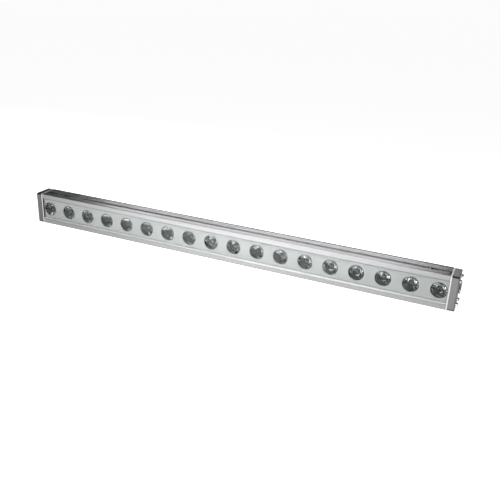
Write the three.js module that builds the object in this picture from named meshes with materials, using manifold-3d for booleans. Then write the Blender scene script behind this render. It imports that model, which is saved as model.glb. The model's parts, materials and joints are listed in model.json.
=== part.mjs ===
// A one-metre LED strip batten. An extruded aluminium housing holds one straight row of lenses
// behind a flat glass front, each long side has a T-slot with two sliding nuts for brackets, and a
// screwed cap on a flat gasket closes each end.
//
// Millimetres, +Z up. The batten runs along X, its lenses face -Y and it rests on Z = 0, with the
// origin under its middle. Pieces are laid out from the middle of the front plane: a depth is
// measured back from that plane and a height up from the row of lenses.

import * as THREE from "three";
import { mergeVertices } from "three/addons/utils/BufferGeometryUtils.js";
import Module from "manifold-3d";

const wasm = await Module();
wasm.setup();

// Overall sizes
const BATTEN_LENGTH = 1000;
const HEIGHT = 73;
const DEPTH = 45;
const HALF_HEIGHT = HEIGHT / 2;
const GAP = 0.2; // left between pieces that touch on the real object

// End caps, their gaskets and screws
const CAP_THICKNESS = 14;
const CAP_EDGE = 1.2;
const CAP_CORNER = 1;
const GASKET_CORNER = 2;
const GASKET_THICKNESS = 2.6;
const CAP_OUTER = BATTEN_LENGTH / 2;
const CAP_INNER = CAP_OUTER - CAP_THICKNESS;
const GASKET_OUTER = CAP_INNER - GAP;
const GASKET_INNER = GASKET_OUTER - GASKET_THICKNESS;
const HOUSING_HALF = GASKET_INNER - GAP;
const POCKET_DEPTH = 7.5;
const POCKET_HALF_HEIGHT = 20.5;
const POCKET_NEAR = 8;
const POCKET_FAR = 40;
const SCREW_PLACES = [
  { depth: 10.5, height: 24.5 },
  { depth: 37, height: 25.5 },
];
const SCREW_RADIUS = 1.95;
const SCREW_REACH = 18; // how far a cap screw goes into the housing
const SCREW_HEAD_RADIUS = 3.5;
const SCREW_HEAD_HEIGHT = 4;
const SCREW_SOCKET_FLATS = 3;
const THREAD_HOLE_RADIUS = 2.2;
const CLEARANCE_HOLE_RADIUS = 2.4;

// Front: bevelled recess, glass, lens panel and the ledge that they sit on
const RECESS_HALF = 25.1;
const RECESS_DEPTH = 1.5;
const BEVEL_HALF = 25.7;
const GLASS_HALF = 23.6;
const GLASS_THICKNESS = 3;
const PANEL_THICKNESS = 1.2;
const PANEL_FRONT = RECESS_DEPTH + GLASS_THICKNESS + GAP;
const PANEL_BACK = PANEL_FRONT + PANEL_THICKNESS;
const LEDGE_FRONT = PANEL_BACK + GAP;
const LEDGE_BACK = LEDGE_FRONT + 2.4;
const LEDGE_HALF = 19;
const CHAMBER_HALF = 20.5;

// Light engine
const LENS_COUNT = 18;
const LENS_PITCH = 54.75;
const LENS_HOLE_RADIUS = 16.7;
const LENS_RADIUS = 16.2;
const LENS_FRONT = PANEL_FRONT + GAP;
const LENS_RIM = 2.4;
const LENS_CONE_TOP_RADIUS = 15;
const LENS_BACK = 20.5;
const LENS_BACK_RADIUS = 6.4;
const LENS_CAVITY_RADIUS = 3.6;
const LENS_CAVITY_DEPTH = 6;
const BOARD_COUNT = 3;
const LENSES_PER_BOARD = LENS_COUNT / BOARD_COUNT;
const BOARD_PITCH = LENSES_PER_BOARD * LENS_PITCH;
const BOARD_HALF_LENGTH = 154.5;
const BOARD_HALF_HEIGHT = 18;
const BOARD_FRONT = 21.4;
const BOARD_BACK = 23;
const EMITTER_BASE = 5;
const EMITTER_BASE_HEIGHT = 0.8;
const EMITTER_RADIUS = 2.2;
const CARRIER_HALF_LENGTH = 149;
const CARRIER_HALF_HEIGHT = 19.4;
const CARRIER_FRONT = 17;
const CARRIER_BACK = 20.9;
const CARRIER_HOLE_RADIUS = 9;
const JUMPER_HALF_LENGTH = 13;
const JUMPER_HALF_HEIGHT = 4;
const JUMPER_THICKNESS = 0.7;

// Housing walls behind the light engine
const WALL_FRONT = 24;
const WALL_BACK = 27;
const CAVITY_FAR = 40;
const CAVITY_HALF = 34;
const CAVITY_STEP_DEPTH = 29;
const CAVITY_STEP_HEIGHT = 26.5;
const BOSS_RADIUS = 4;
const WIRE_HOLE_RADIUS = 4;
const CORNER_RADIUS = 0.8;
const RAIL_CELL = { near: 2.5, far: 8.5, low: 28.5, high: 33 };
const WALL_CELL = { near: 15.5, far: 25, low: 22.7, high: 26.3 };

// T-slots and their nuts
const SLOT_CENTRE = 19;
const SLOT_MOUTH = 11;
const SLOT_CHANNEL = 16;
const SLOT_LIP = 2.5;
const SLOT_FLOOR = 28.5;
const SCALLOP_RADIUS = 9.5;
const SCALLOP_DEPTH = 14;
const SCALLOP_OFFSET = 5;
const SCALLOP_FLOOR = 33.6;
const NUT_PLACE = 438; // rest distance of each nut from the batten's middle
const NUT_LENGTH = 14;
const NUT_PLATE_WIDTH = 15;
const NUT_PLATE_HEIGHT = 4.4;
const NUT_NECK_LENGTH = 10;
const NUT_NECK_WIDTH = 10;
const NUT_NECK_HEIGHT = 2.4;
const NUT_THREAD_RADIUS = 2.1;
const NUT_PLAY = 0.4;

// Fine lines along the outside
const EDGE_GROOVE_NEAR = 3.2;
const EDGE_GROOVE_WIDTH = 1;
const EDGE_GROOVE_DEPTH = 0.6;
const RIB_COUNT = 4;
const RIB_START = 26.4;
const RIB_PITCH = 3;
const RIB_VALLEY = 0.9;
const RIB_SLOPE = 0.4;
const RIB_DEPTH = 0.8;
const REAR_GROOVE_NEAR = 41.4;
const REAR_GROOVE_WIDTH = 2.4;
const REAR_GROOVE_DEPTH = 1.5;
const FIN_COUNT = 4;
const FIN_START = 12;
const FIN_PITCH = 5;
const FIN_GAP = 3;
const FIN_DEPTH = 3;

// Driver and wiring in the rear cavity
const TRAY_HALF_LENGTH = 158;
const TRAY_HALF_HEIGHT = 15;
const TRAY_BACK = 39.6;
const TRAY_WALL = 1.2;
const TRAY_LIP_FRONT = 34;
const DRIVER_HALF_LENGTH = 150;
const DRIVER_HALF_HEIGHT = 13;
const DRIVER_FRONT = 36.4;
const DRIVER_BACK = 38;
const WIRE_RADIUS = 1.8;
const WIRE_SIDES = 6;
const WIRE_DEPTH = 33.4;
const HARNESS_SPREAD = 1.2; // the two inlet leads lie this far above and below the middle
// Parts on the driver board: the distance of their middle from the board's, and half their size
const TERMINALS = { place: 142, half: 6, front: 31, halfHeight: 10 };
const SWITCHES = { place: 60, half: 9, front: 29.5, halfHeight: 6 };
const TRANSFORMER = { place: 0, half: 20, front: 29, halfHeight: 11 };
const CAPACITORS = { place: 96, radius: 6, front: 30 };

// Connectors in the end caps
const CONNECTOR_DEPTH = 28.5;
const INLET_HEIGHT = 10.4;
const INLET_BARREL_RADIUS = 6;
const INLET_HOLE_RADIUS = 6.3;
const INLET_FLANGE_RADIUS = 9.5;
const INLET_FLANGE_THICKNESS = 2;
const INLET_COLLAR_RADIUS = 7.6;
const INLET_COLLAR_END = 8.8;
const INLET_BARREL_END = CAP_INNER + 2.6;
const SOCKET_RADIUS = 4.6;
const SOCKET_DEPTH = 8;
const PIN_LENGTH = 3;
const PIN_RADIUS = 0.6;
const PIN_CIRCLE = 2.4;
const LOCK_NUT_FLATS = 15;
const LOCK_NUT_THICKNESS = 3;
const PLUG_HEIGHT = 3;
const PLUG_FLATS = 22;
const PLUG_HEAD_THICKNESS = 3.2;
const PLUG_BARREL_RADIUS = 8;
const PLUG_HOLE_RADIUS = 8.3;
const PLUG_SEAL_RADIUS = 10;
const PLUG_SEAL_THICKNESS = 1;

// Colours and surfaces
const FINISHES = {
  aluminium: { color: 0xc9cbcc, roughness: 0.38, metalness: 0.9 },
  capPaint: { color: 0x57585b, roughness: 0.5, metalness: 0.25 },
  panelPaint: { color: 0xb9c1c0, roughness: 0.45, metalness: 0.1 },
  glass: { color: 0xe9f2f0, roughness: 0.05, metalness: 0, opacity: 0.3, transparent: true },
  lens: { color: 0xdfe5e6, roughness: 0.08, metalness: 0, opacity: 0.5, transparent: true },
  gasket: { color: 0xd5d7d6, roughness: 0.7, metalness: 0 },
  darkRubber: { color: 0x3c3f40, roughness: 0.75, metalness: 0 },
  stainless: { color: 0x9a9a98, roughness: 0.35, metalness: 0.9 },
  nickel: { color: 0xcfd0cc, roughness: 0.25, metalness: 1 },
  zinc: { color: 0xb8bcbe, roughness: 0.35, metalness: 1 },
  board: { color: 0xe6e6e0, roughness: 0.5, metalness: 0 },
  driverBoard: { color: 0x2f6b45, roughness: 0.5, metalness: 0 },
  thermalPad: { color: 0x8f9aa6, roughness: 0.9, metalness: 0 },
  blackPlastic: { color: 0x1c1d1f, roughness: 0.55, metalness: 0 },
  clearTray: { color: 0xcfcabb, roughness: 0.6, metalness: 0 },
  wire: { color: 0x2a2a2c, roughness: 0.6, metalness: 0 },
};

const WELD = 1e-4;

// ---- Joining and cutting --------------------------------------------------------------------

function toSolid(geometry) {
  const bare = geometry.index ? geometry.toNonIndexed() : geometry.clone();
  bare.deleteAttribute("normal");
  bare.deleteAttribute("uv");
  const welded = mergeVertices(bare, WELD);
  const mesh = new wasm.Mesh({
    numProp: 3,
    vertProperties: new Float32Array(welded.attributes.position.array),
    triVerts: new Uint32Array(welded.index.array),
  });
  return new wasm.Manifold(mesh);
}

function toGeometry(solid) {
  const mesh = solid.getMesh();
  const geometry = new THREE.BufferGeometry();
  geometry.setAttribute("position", new THREE.BufferAttribute(mesh.vertProperties, 3));
  geometry.setIndex(new THREE.BufferAttribute(mesh.triVerts, 1));
  geometry.computeVertexNormals();
  return geometry;
}

function join(...geometries) {
  return toGeometry(geometries.map(toSolid).reduce((body, next) => body.add(next)));
}

function cut(geometry, ...tools) {
  return toGeometry(tools.map(toSolid).reduce((body, tool) => body.subtract(tool), toSolid(geometry)));
}

// ---- Basic shapes ---------------------------------------------------------------------------

const SECTION_TO_BATTEN = new THREE.Matrix4().makeBasis(
  new THREE.Vector3(0, 1, 0),
  new THREE.Vector3(0, 0, 1),
  new THREE.Vector3(1, 0, 0),
);

const FRONT_VIEW_TO_BATTEN = new THREE.Matrix4().makeBasis(
  new THREE.Vector3(1, 0, 0),
  new THREE.Vector3(0, 0, 1),
  new THREE.Vector3(0, -1, 0),
);

function arc(x, y, radius, from, to, steps) {
  return Array.from({ length: steps + 1 }, (_, i) => {
    const angle = from + ((to - from) * i) / steps;
    return new THREE.Vector2(x + radius * Math.cos(angle), y + radius * Math.sin(angle));
  });
}

function points(...pairs) {
  return pairs.map(([x, y]) => new THREE.Vector2(x, y));
}

function circle(x, y, radius, sides) {
  return new THREE.Path(arc(x, y, radius, 0, 2 * Math.PI * (1 - 1 / sides), sides - 1));
}

function hexagon(x, y, flats) {
  return circle(x, y, flats / Math.sqrt(3), 6);
}

function rectangle(x0, y0, x1, y1) {
  return new THREE.Shape(points([x0, y0], [x1, y0], [x1, y1], [x0, y1]));
}

// The outline runs anticlockwise, so that the extrusion turns every hole the other way.
function shapeWithHoles(outline, holes) {
  const loop = outline.getPoints();
  const shape = new THREE.Shape(THREE.ShapeUtils.isClockWise(loop) ? loop.reverse() : loop);
  shape.holes.push(...holes);
  return shape;
}

// A section drawn with depth across and height up, carried along the batten.
function alongX(section, from, to) {
  const geometry = new THREE.ExtrudeGeometry(section, { depth: to - from, bevelEnabled: false });
  return geometry.applyMatrix4(SECTION_TO_BATTEN).translate(from, 0, 0);
}

// A shape drawn in front view, with X across and height up, given a thickness in depth.
function throughDepth(shape, front, back) {
  const geometry = new THREE.ExtrudeGeometry(shape, { depth: back - front, bevelEnabled: false });
  return geometry.applyMatrix4(FRONT_VIEW_TO_BATTEN).translate(0, back, 0);
}

// A shape drawn in plan, with X across and depth up the page, given a height.
function upwards(shape, bottom, top) {
  const geometry = new THREE.ExtrudeGeometry(shape, { depth: top - bottom, bevelEnabled: false });
  return geometry.translate(0, 0, bottom);
}

function block(x0, y0, z0, x1, y1, z1) {
  const geometry = new THREE.BoxGeometry(x1 - x0, y1 - y0, z1 - z0);
  return geometry.translate((x0 + x1) / 2, (y0 + y1) / 2, (z0 + z1) / 2);
}

// A turned piece whose axis points along the batten; its profile is [radius, place along X].
function turnedAlongX(profile, sides, depth, height) {
  const geometry = new THREE.LatheGeometry(points(...profile), sides);
  return geometry.rotateZ(-Math.PI / 2).translate(0, depth, height);
}

// A turned piece whose axis points into the batten; its profile is [radius, depth].
function turnedAlongY(profile, sides, x) {
  return new THREE.LatheGeometry(points(...profile), sides).translate(x, 0, 0);
}

function wire(path, steps) {
  const section = new THREE.Shape(circle(0, 0, WIRE_RADIUS, WIRE_SIDES).getPoints());
  return new THREE.ExtrudeGeometry(section, { steps, extrudePath: path, bevelEnabled: false });
}

function curveThrough(...places) {
  return new THREE.CatmullRomCurve3(places.map((place) => new THREE.Vector3(...place)));
}

function piece(name, geometry, finish) {
  const mesh = new THREE.Mesh(geometry, new THREE.MeshStandardMaterial(FINISHES[finish]));
  mesh.name = name;
  return mesh;
}

// ---- Housing --------------------------------------------------------------------------------

// Upper half of the section's outline, from the middle of the chamber's back wall round the front,
// the top and the back to the middle of the rear face.
function upperOutline() {
  const mouthNear = SLOT_CENTRE - SLOT_MOUTH / 2;
  const mouthFar = SLOT_CENTRE + SLOT_MOUTH / 2;
  const channelNear = SLOT_CENTRE - SLOT_CHANNEL / 2;
  const channelFar = SLOT_CENTRE + SLOT_CHANNEL / 2;
  const lipBottom = HALF_HEIGHT - SLOT_LIP;
  const cornerCentre = HALF_HEIGHT - CORNER_RADIUS;
  const grooveFar = EDGE_GROOVE_NEAR + EDGE_GROOVE_WIDTH;
  const grooveBottom = HALF_HEIGHT - EDGE_GROOVE_DEPTH;
  const rearGrooveFar = REAR_GROOVE_NEAR + REAR_GROOVE_WIDTH;
  const rearGrooveBottom = HALF_HEIGHT - REAR_GROOVE_DEPTH;
  const outline = points(
    [WALL_FRONT, 0],
    [WALL_FRONT, CHAMBER_HALF],
    [LEDGE_BACK, CHAMBER_HALF],
    [LEDGE_BACK, LEDGE_HALF],
    [LEDGE_FRONT, LEDGE_HALF],
    [LEDGE_FRONT, RECESS_HALF],
    [RECESS_DEPTH, RECESS_HALF],
    [0, BEVEL_HALF],
  );
  outline.push(...arc(CORNER_RADIUS, cornerCentre, CORNER_RADIUS, Math.PI, Math.PI / 2, 4));
  outline.push(
    ...points(
      [EDGE_GROOVE_NEAR, HALF_HEIGHT],
      [EDGE_GROOVE_NEAR, grooveBottom],
      [grooveFar, grooveBottom],
      [grooveFar, HALF_HEIGHT],
      [mouthNear, HALF_HEIGHT],
      [mouthNear, lipBottom],
      [channelNear, lipBottom],
      [channelNear, SLOT_FLOOR],
      [channelFar, SLOT_FLOOR],
      [channelFar, lipBottom],
      [mouthFar, lipBottom],
      [mouthFar, HALF_HEIGHT],
    ),
  );
  for (let rib = 0; rib < RIB_COUNT; rib += 1) {
    const valley = RIB_START + RIB_PITCH * rib;
    outline.push(
      ...points(
        [valley, HALF_HEIGHT],
        [valley + RIB_SLOPE, HALF_HEIGHT - RIB_DEPTH],
        [valley + RIB_SLOPE + RIB_VALLEY, HALF_HEIGHT - RIB_DEPTH],
        [valley + 2 * RIB_SLOPE + RIB_VALLEY, HALF_HEIGHT],
      ),
    );
  }
  outline.push(
    ...points(
      [REAR_GROOVE_NEAR, HALF_HEIGHT],
      [REAR_GROOVE_NEAR, rearGrooveBottom],
      [rearGrooveFar, rearGrooveBottom],
      [rearGrooveFar, HALF_HEIGHT],
    ),
  );
  outline.push(...arc(DEPTH - CORNER_RADIUS, cornerCentre, CORNER_RADIUS, Math.PI / 2, 0, 4));
  for (let fin = FIN_COUNT - 1; fin >= 0; fin -= 1) {
    const near = FIN_START + FIN_PITCH * fin;
    outline.push(
      ...points(
        [DEPTH, near + FIN_GAP],
        [DEPTH - FIN_DEPTH, near + FIN_GAP],
        [DEPTH - FIN_DEPTH, near],
        [DEPTH, near],
      ),
    );
  }
  outline.push(new THREE.Vector2(DEPTH, 0));
  return outline;
}

// A half outline and its mirror image below the row of lenses, as one loop.
function mirroredLoop(upper) {
  const onAxis = (point) => point.y === 0;
  const lower = upper.filter((point) => !onAxis(point)).reverse();
  return [...upper, ...lower.map((point) => new THREE.Vector2(point.x, -point.y))];
}

// The rear cavity runs round a screw boss that stands on the back wall above and below.
function cavityHole() {
  const boss = SCREW_PLACES[1];
  const spread = Math.acos((CAVITY_FAR - boss.depth) / BOSS_RADIUS);
  const upper = points(
    [WALL_BACK, 0],
    [WALL_BACK, CAVITY_STEP_HEIGHT],
    [CAVITY_STEP_DEPTH, CAVITY_STEP_HEIGHT],
    [CAVITY_STEP_DEPTH, CAVITY_HALF],
    [CAVITY_FAR, CAVITY_HALF],
  );
  upper.push(...arc(boss.depth, boss.height, BOSS_RADIUS, spread, 2 * Math.PI - spread, 10));
  upper.push(new THREE.Vector2(CAVITY_FAR, 0));
  return new THREE.Path(mirroredLoop(upper));
}

function housing() {
  const holes = [cavityHole()];
  for (const side of [-1, 1]) {
    for (const { depth, height } of SCREW_PLACES) {
      holes.push(circle(depth, side * height, THREAD_HOLE_RADIUS, 12));
    }
    for (const { near, far, low, high } of [RAIL_CELL, WALL_CELL]) {
      holes.push(rectangle(near, side * low, far, side * high));
    }
  }
  const section = shapeWithHoles(new THREE.Shape(mirroredLoop(upperOutline())), holes);
  const tools = [];
  for (const end of [-1, 1]) {
    for (const side of [-1, 1]) {
      const plan = new THREE.Shape(
        circle(end * (HOUSING_HALF + SCALLOP_OFFSET), SCALLOP_DEPTH, SCALLOP_RADIUS, 24).getPoints(),
      );
      const top = HALF_HEIGHT + 1;
      tools.push(upwards(plan, ...(side > 0 ? [SCALLOP_FLOOR, top] : [-top, -SCALLOP_FLOOR])));
    }
  }
  const wireHole = circle(BOARD_PITCH / 2, 0, WIRE_HOLE_RADIUS, 16);
  tools.push(throughDepth(new THREE.Shape(wireHole.getPoints()), WALL_FRONT - 1, WALL_BACK + 1));
  return cut(alongX(section, -HOUSING_HALF, HOUSING_HALF), ...tools);
}

// ---- Front: glass, seals and lens panel --------------------------------------------------------

function addFront(batten) {
  const end = HOUSING_HALF - GAP;
  const glassBack = RECESS_DEPTH + GLASS_THICKNESS;
  const glass = rectangle(RECESS_DEPTH, -GLASS_HALF, glassBack, GLASS_HALF);
  batten.add(piece("cover_glass", alongX(glass, -end, end), "glass"));
  const sealNear = GLASS_HALF + GAP;
  const sealFar = RECESS_HALF - GAP;
  for (const [name, side] of [["glass_seal_upper", 1], ["glass_seal_lower", -1]]) {
    const seal = rectangle(RECESS_DEPTH + 0.4, side * sealNear, glassBack, side * sealFar);
    batten.add(piece(name, alongX(seal, -end, end), "darkRubber"));
  }
  const holes = lensPlaces().map((x) => circle(x, 0, LENS_HOLE_RADIUS, 24));
  const panel = shapeWithHoles(rectangle(-end, -sealFar, end, sealFar), holes);
  batten.add(piece("lens_panel", throughDepth(panel, PANEL_FRONT, PANEL_BACK), "panelPaint"));
}

// ---- Light engine ---------------------------------------------------------------------------

function lensPlaces() {
  const first = (-(LENS_COUNT - 1) / 2) * LENS_PITCH;
  return Array.from({ length: LENS_COUNT }, (_, i) => first + LENS_PITCH * i);
}

function lens(x) {
  const profile = [
    [0, LENS_FRONT],
    [LENS_RADIUS, LENS_FRONT],
    [LENS_RADIUS, LENS_FRONT + LENS_RIM],
    [LENS_CONE_TOP_RADIUS, LENS_FRONT + LENS_RIM],
    [LENS_BACK_RADIUS, LENS_BACK],
    [LENS_CAVITY_RADIUS, LENS_BACK],
    [0, LENS_BACK - LENS_CAVITY_DEPTH],
  ];
  return turnedAlongY(profile, 16, x);
}

function ledBoard(centre) {
  const half = BOARD_HALF_LENGTH;
  const high = BOARD_HALF_HEIGHT;
  const parts = [block(centre - half, BOARD_FRONT, -high, centre + half, BOARD_BACK, high)];
  const baseFront = BOARD_FRONT - EMITTER_BASE_HEIGHT;
  const rim = EMITTER_BASE / 2;
  for (let i = 0; i < LENSES_PER_BOARD; i += 1) {
    const x = centre + (i - (LENSES_PER_BOARD - 1) / 2) * LENS_PITCH;
    parts.push(block(x - rim, baseFront, -rim, x + rim, BOARD_FRONT + GAP, rim));
    const dome = [
      [0, baseFront - EMITTER_RADIUS],
      [EMITTER_RADIUS * 0.7, baseFront - EMITTER_RADIUS * 0.7],
      [EMITTER_RADIUS, baseFront],
      [EMITTER_RADIUS, baseFront + GAP],
      [0, baseFront + GAP],
    ];
    parts.push(turnedAlongY(dome, 8, x));
  }
  return join(...parts);
}

function lensCarrier(centre) {
  const outline = rectangle(
    centre - CARRIER_HALF_LENGTH,
    -CARRIER_HALF_HEIGHT,
    centre + CARRIER_HALF_LENGTH,
    CARRIER_HALF_HEIGHT,
  );
  const holes = Array.from({ length: LENSES_PER_BOARD }, (_, i) => {
    const x = centre + (i - (LENSES_PER_BOARD - 1) / 2) * LENS_PITCH;
    return circle(x, 0, CARRIER_HOLE_RADIUS, 16);
  });
  return throughDepth(shapeWithHoles(outline, holes), CARRIER_FRONT, CARRIER_BACK);
}

function addLightEngine(batten) {
  lensPlaces().forEach((x, i) => {
    batten.add(piece(`lens_${String(i + 1).padStart(2, "0")}`, lens(x), "lens"));
  });
  for (let i = 0; i < BOARD_COUNT; i += 1) {
    const centre = (i - (BOARD_COUNT - 1) / 2) * BOARD_PITCH;
    const half = BOARD_HALF_LENGTH;
    const high = BOARD_HALF_HEIGHT;
    const padFront = BOARD_BACK + GAP;
    const pad = block(centre - half, padFront, -high, centre + half, WALL_FRONT - GAP, high);
    batten.add(piece(`led_board_${i + 1}`, ledBoard(centre), "board"));
    batten.add(piece(`heat_pad_${i + 1}`, pad, "thermalPad"));
    batten.add(piece(`lens_carrier_${i + 1}`, lensCarrier(centre), "blackPlastic"));
  }
  for (let i = 0; i < BOARD_COUNT - 1; i += 1) {
    const x = (i - (BOARD_COUNT - 2) / 2) * BOARD_PITCH;
    const back = BOARD_FRONT - GAP;
    const low = [x - JUMPER_HALF_LENGTH, back - JUMPER_THICKNESS, -JUMPER_HALF_HEIGHT];
    const jumper = block(...low, x + JUMPER_HALF_LENGTH, back, JUMPER_HALF_HEIGHT);
    batten.add(piece(`board_jumper_${i + 1}`, jumper, "wire"));
  }
}

// ---- Driver and wiring ----------------------------------------------------------------------

function driverBoard() {
  const seat = DRIVER_FRONT + GAP;
  const plate = block(
    -DRIVER_HALF_LENGTH,
    DRIVER_FRONT,
    -DRIVER_HALF_HEIGHT,
    DRIVER_HALF_LENGTH,
    DRIVER_BACK,
    DRIVER_HALF_HEIGHT,
  );
  const box = ({ place, half, front, halfHeight }, side) =>
    block(side * place - half, front, -halfHeight, side * place + half, seat, halfHeight);
  const parts = [plate, box(TRANSFORMER, 1)];
  for (const side of [-1, 1]) {
    const { place, radius, front } = CAPACITORS;
    const can = [
      [0, front],
      [radius, front],
      [radius, seat],
      [0, seat],
    ];
    parts.push(box(TERMINALS, side), box(SWITCHES, side), turnedAlongY(can, 12, side * place));
  }
  return join(...parts);
}

function driverTray() {
  const inner = TRAY_HALF_HEIGHT - TRAY_WALL;
  const floor = TRAY_BACK - TRAY_WALL;
  const section = new THREE.Shape(
    points(
      [TRAY_BACK, -TRAY_HALF_HEIGHT],
      [TRAY_BACK, TRAY_HALF_HEIGHT],
      [TRAY_LIP_FRONT, TRAY_HALF_HEIGHT],
      [TRAY_LIP_FRONT, inner],
      [floor, inner],
      [floor, -inner],
      [TRAY_LIP_FRONT, -inner],
      [TRAY_LIP_FRONT, -TRAY_HALF_HEIGHT],
    ),
  );
  return alongX(section, -TRAY_HALF_LENGTH, TRAY_HALF_LENGTH);
}

// Two leads from the inlets meet and run to the driver's nearer terminals.
function inletHarness() {
  const start = -INLET_BARREL_END + 1;
  const leads = [-1, 1].map((side) =>
    curveThrough(
      [start, CONNECTOR_DEPTH, side * INLET_HEIGHT],
      [start + 7, CONNECTOR_DEPTH + 2.6, side * INLET_HEIGHT * 0.9],
      [start + 22, WIRE_DEPTH - 0.4, side * INLET_HEIGHT * 0.5],
      [start + 45, WIRE_DEPTH, side * HARNESS_SPREAD],
      [start / 2, WIRE_DEPTH, side * HARNESS_SPREAD],
      [-DRIVER_HALF_LENGTH - 1, WIRE_DEPTH, side * HARNESS_SPREAD],
    ),
  );
  return join(...leads.map((lead) => wire(lead, 26)));
}

// One lead from the driver through the wall to the join between two LED boards.
function ledHarness() {
  const crossing = BOARD_PITCH / 2;
  const path = curveThrough(
    [DRIVER_HALF_LENGTH + 1, WIRE_DEPTH, 0],
    [crossing - 5, WIRE_DEPTH - 0.8, 0],
    [crossing - 0.8, WALL_BACK + 2.5, 0],
    [crossing, WALL_BACK - 1, 0],
    [crossing, BOARD_FRONT + GAP, 0],
  );
  return wire(path, 14);
}

function addDriver(batten) {
  batten.add(piece("driver_board", driverBoard(), "driverBoard"));
  batten.add(piece("driver_tray", driverTray(), "clearTray"));
  batten.add(piece("inlet_harness", inletHarness(), "wire"));
  batten.add(piece("led_harness", ledHarness(), "wire"));
}

// ---- Ends: gasket, cap, screws and connectors, all built for the +X end ---------------------------

function endOutline(inset, r) {
  const x0 = inset;
  const x1 = DEPTH - inset;
  const y1 = HALF_HEIGHT - inset;
  const quarter = Math.PI / 2;
  return [
    ...arc(x1 - r, y1 - r, r, 0, quarter, 4),
    ...arc(x0 + r, y1 - r, r, quarter, 2 * quarter, 4),
    ...arc(x0 + r, r - y1, r, 2 * quarter, 3 * quarter, 4),
    ...arc(x1 - r, r - y1, r, 3 * quarter, 4 * quarter, 4),
  ];
}

function screwHoles(radius) {
  return [-1, 1].flatMap((side) =>
    SCREW_PLACES.map(({ depth, height }) => circle(depth, side * height, radius, 12)),
  );
}

function endGasket() {
  const window = rectangle(POCKET_NEAR, -POCKET_HALF_HEIGHT, POCKET_FAR, POCKET_HALF_HEIGHT);
  const holes = [window, ...screwHoles(CLEARANCE_HOLE_RADIUS)];
  const section = shapeWithHoles(new THREE.Shape(endOutline(0, GASKET_CORNER)), holes);
  return alongX(section, GASKET_INNER, GASKET_OUTER);
}

// A block with its outer edges eased, a pocket in its inner face, and the holes given.
function endCap(connectorHoles) {
  const eased = new THREE.ExtrudeGeometry(new THREE.Shape(endOutline(CAP_EDGE, CAP_CORNER)), {
    depth: CAP_THICKNESS,
    bevelEnabled: true,
    bevelThickness: CAP_EDGE,
    bevelSize: CAP_EDGE,
    bevelSegments: 4,
  });
  eased.applyMatrix4(SECTION_TO_BATTEN).translate(CAP_OUTER - CAP_EDGE - CAP_THICKNESS, 0, 0);
  const beyond = CAP_OUTER + 1;
  const spare = block(CAP_INNER - 9, -1, -HEIGHT, CAP_INNER, DEPTH + 1, HEIGHT);
  const pocketShape = rectangle(POCKET_NEAR, -POCKET_HALF_HEIGHT, POCKET_FAR, POCKET_HALF_HEIGHT);
  const pocket = alongX(pocketShape, CAP_INNER - 1, CAP_INNER + POCKET_DEPTH);
  const holes = [...screwHoles(CLEARANCE_HOLE_RADIUS), ...connectorHoles].map((hole) =>
    alongX(new THREE.Shape(hole.getPoints()), CAP_INNER - 1, beyond),
  );
  return cut(eased, spare, pocket, ...holes);
}

function capScrew({ depth, height }) {
  const seat = CAP_OUTER + GAP;
  const top = seat + SCREW_HEAD_HEIGHT;
  const profile = [
    [0, HOUSING_HALF - SCREW_REACH],
    [SCREW_RADIUS, HOUSING_HALF - SCREW_REACH],
    [SCREW_RADIUS, seat],
    [SCREW_HEAD_RADIUS, seat],
    [SCREW_HEAD_RADIUS, top - 0.4],
    [SCREW_HEAD_RADIUS - 0.4, top],
    [0, top],
  ];
  const body = turnedAlongX(profile, 12, depth, height);
  const socket = new THREE.Shape(hexagon(depth, height, SCREW_SOCKET_FLATS).getPoints());
  return cut(body, alongX(socket, top - 2, top + 1));
}

// A chassis connector: flange and collar outside, barrel through the cap, pins in its socket.
function inlet(height, pinCount) {
  const seat = CAP_OUTER + GAP;
  const socketFloor = CAP_OUTER + INLET_COLLAR_END - SOCKET_DEPTH;
  const mouth = CAP_OUTER + INLET_COLLAR_END;
  const profile = [
    [0, INLET_BARREL_END],
    [INLET_BARREL_RADIUS, INLET_BARREL_END],
    [INLET_BARREL_RADIUS, seat],
    [INLET_FLANGE_RADIUS, seat],
    [INLET_FLANGE_RADIUS, seat + INLET_FLANGE_THICKNESS],
    [INLET_COLLAR_RADIUS, seat + INLET_FLANGE_THICKNESS],
    [INLET_COLLAR_RADIUS, mouth],
    [SOCKET_RADIUS, mouth],
    [SOCKET_RADIUS, socketFloor],
    [0, socketFloor],
  ];
  const pins = Array.from({ length: pinCount }, (_, i) => {
    const angle = (2 * Math.PI * i) / pinCount + Math.PI / 2;
    const depth = CONNECTOR_DEPTH + PIN_CIRCLE * Math.cos(angle);
    const up = height + PIN_CIRCLE * Math.sin(angle);
    const pin = new THREE.Shape(circle(depth, up, PIN_RADIUS, 6).getPoints());
    return alongX(pin, socketFloor - 1, socketFloor + PIN_LENGTH);
  });
  return join(turnedAlongX(profile, 16, CONNECTOR_DEPTH, height), ...pins);
}

function lockNut(height) {
  const start = CAP_INNER + POCKET_DEPTH - GAP - LOCK_NUT_THICKNESS;
  const outline = new THREE.Shape(hexagon(CONNECTOR_DEPTH, height, LOCK_NUT_FLATS).getPoints());
  const bore = circle(CONNECTOR_DEPTH, height, INLET_HOLE_RADIUS, 16);
  return alongX(shapeWithHoles(outline, [bore]), start, start + LOCK_NUT_THICKNESS);
}

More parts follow.
